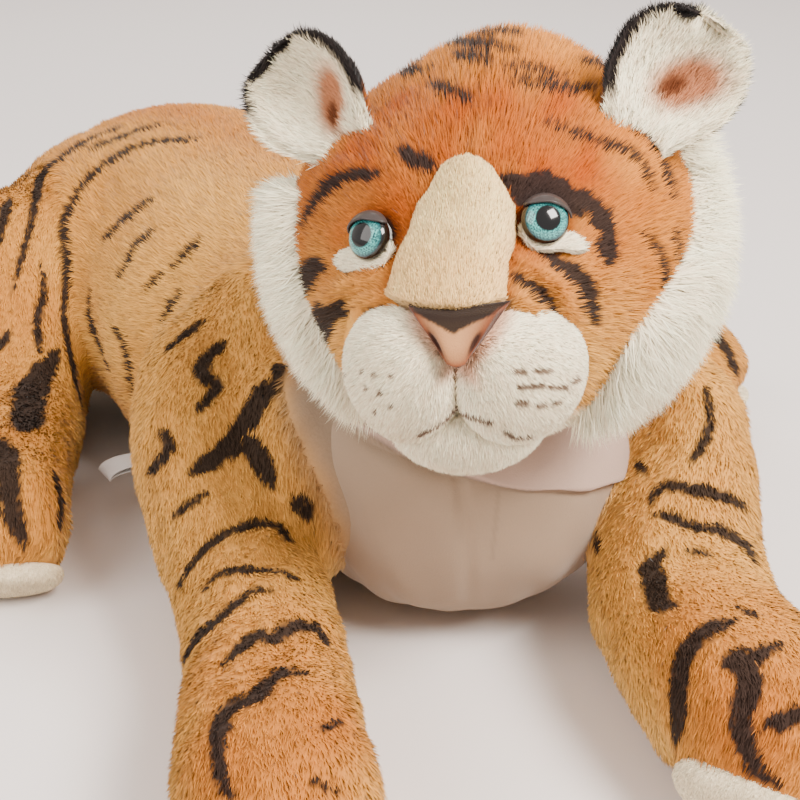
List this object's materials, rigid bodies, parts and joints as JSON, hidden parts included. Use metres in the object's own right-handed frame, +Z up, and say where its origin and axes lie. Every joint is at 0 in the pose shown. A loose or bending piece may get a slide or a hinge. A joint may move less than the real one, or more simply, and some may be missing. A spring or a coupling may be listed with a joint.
{
  "type": "plush tiger",
  "caption": "Lying plush tiger with striped pile, white cheek ruffs and glossy eyes; head, ears, legs and tail move at their seams.",
  "frame": {"origin": "on the floor, on the flat underside of the belly", "axes": "+Z up, the tiger faces -Y, +X is the tiger's left side"},
  "size_m": [0.6248, 0.8901, 0.3893],
  "materials": {
    "plush_orange": "short-pile plush, striped",
    "plush_white": "plush pile",
    "plush_cream": "short-pile plush",
    "plush_black": "plush pile",
    "bib": "very short-pile plush",
    "nose_fabric": "suede-like fabric, airbrushed",
    "eye_plastic": "clear dome over a coloured iris",
    "lid_plastic": "moulded, satin",
    "washer_plastic": "moulded",
    "fibre": "loose polyester fibre",
    "label_tape": "woven satin tape, bare"
  },
  "bodies": {
    "torso": {"torso_side_right": "plush_orange", "torso_side_left": "plush_orange", "belly_panel": "plush_white", "chest_bib": "bib", "torso_filling": "fibre", "care_label": "label_tape"},
    "neck": {"neck_band": "plush_white", "neck_filling": "fibre"},
    "head": {"head_side_right": "plush_orange", "head_side_left": "plush_orange", "muzzle_right": "plush_white", "muzzle_left": "plush_white", "eye_patch_right": "plush_white", "eye_patch_left": "plush_white", "ruff_right": "plush_white", "ruff_left": "plush_white", "nose_bridge": "plush_cream", "throat_panel": "plush_white", "nose": "nose_fabric", "head_filling": "fibre", "eye_right": "eye_plastic", "eye_left": "eye_plastic", "eye_washer_right": "washer_plastic", "eye_washer_left": "washer_plastic", "eyelid_right": "lid_plastic", "eyelid_left": "lid_plastic"},
    "ear_right": {"ear_back_right": "plush_black", "ear_front_right": "plush_white"},
    "ear_left": {"ear_back_left": "plush_black", "ear_front_left": "plush_white"},
    "tail_root": {"tail_root_skin": "plush_orange", "tail_root_filling": "fibre"},
    "tail_end": {"tail_end_skin": "plush_orange", "tail_end_filling": "fibre", "tail_tip_skin": "plush_black"},
    "foreleg_right": {"foreleg_right_skin": "plush_orange", "foreleg_right_filling": "fibre", "foreleg_right_sole": "plush_cream"},
    "foreleg_left": {"foreleg_left_skin": "plush_orange", "foreleg_left_filling": "fibre", "foreleg_left_sole": "plush_cream"},
    "hindleg_right": {"hindleg_right_skin": "plush_orange", "hindleg_right_filling": "fibre", "hindleg_right_sole": "plush_cream"},
    "hindleg_left": {"hindleg_left_skin": "plush_orange", "hindleg_left_filling": "fibre", "hindleg_left_sole": "plush_cream"}
  },
  "joints": [
    {"name": "neck_turn", "type": "hinge", "parent": "torso", "child": "neck", "pos_m": [-0.008, -0.16, 0.196], "axis": [-0.0873, -0.6766, 0.7312], "range_deg": [-15, 15], "stiffness_Nm_per_rad": 6},
    {"name": "neck_nod", "type": "hinge", "parent": "neck", "child": "head", "pos_m": [-0.008, -0.16, 0.196], "axis": [-0.8132, 0.5796, -0.0515], "range_deg": [-3, 10], "stiffness_Nm_per_rad": 8},
    {"name": "ear_right_fold", "type": "hinge", "parent": "head", "child": "ear_right", "pos_m": [-0.09201, -0.20133, 0.32349], "axis": [-0.5303, 0.4788, -0.6997], "range_deg": [-10, 12], "stiffness_Nm_per_rad": 0.3},
    {"name": "ear_left_fold", "type": "hinge", "parent": "head", "child": "ear_left", "pos_m": [0.03275, -0.2778, 0.33205], "axis": [-0.8433, 0.3958, 0.3635], "range_deg": [-10, 12], "stiffness_Nm_per_rad": 0.3},
    {"name": "foreleg_right_lift", "type": "hinge", "parent": "torso", "child": "foreleg_right", "pos_m": [-0.102, -0.06, 0.118], "axis": [-0.9848, 0.1736, 0], "range_deg": [0, 12]},
    {"name": "foreleg_left_lift", "type": "hinge", "parent": "torso", "child": "foreleg_left", "pos_m": [0.086, -0.15, 0.118], "axis": [-0.9135, 0.4067, 0], "range_deg": [0, 12]},
    {"name": "hindleg_right_lift", "type": "hinge", "parent": "torso", "child": "hindleg_right", "pos_m": [-0.17, 0.25, 0.1], "axis": [-0.9903, 0.1392, 0], "range_deg": [0, 10]},
    {"name": "hindleg_left_lift", "type": "hinge", "parent": "torso", "child": "hindleg_left", "pos_m": [0.078, 0.27, 0.1], "axis": [-0.8988, -0.4384, 0], "range_deg": [0, 10]},
    {"name": "tail_swing", "type": "hinge", "parent": "torso", "child": "tail_root", "pos_m": [-0.026, 0.394, 0.034], "axis": [0, 0, 1], "range_deg": [-5, 18], "stiffness_Nm_per_rad": 0.3},
    {"name": "tail_bend", "type": "hinge", "parent": "tail_root", "child": "tail_end", "pos_m": [0.142, 0.417, 0.021], "axis": [0, 0, 1], "range_deg": [-12, 20], "stiffness_Nm_per_rad": 0.2}
  ]
}
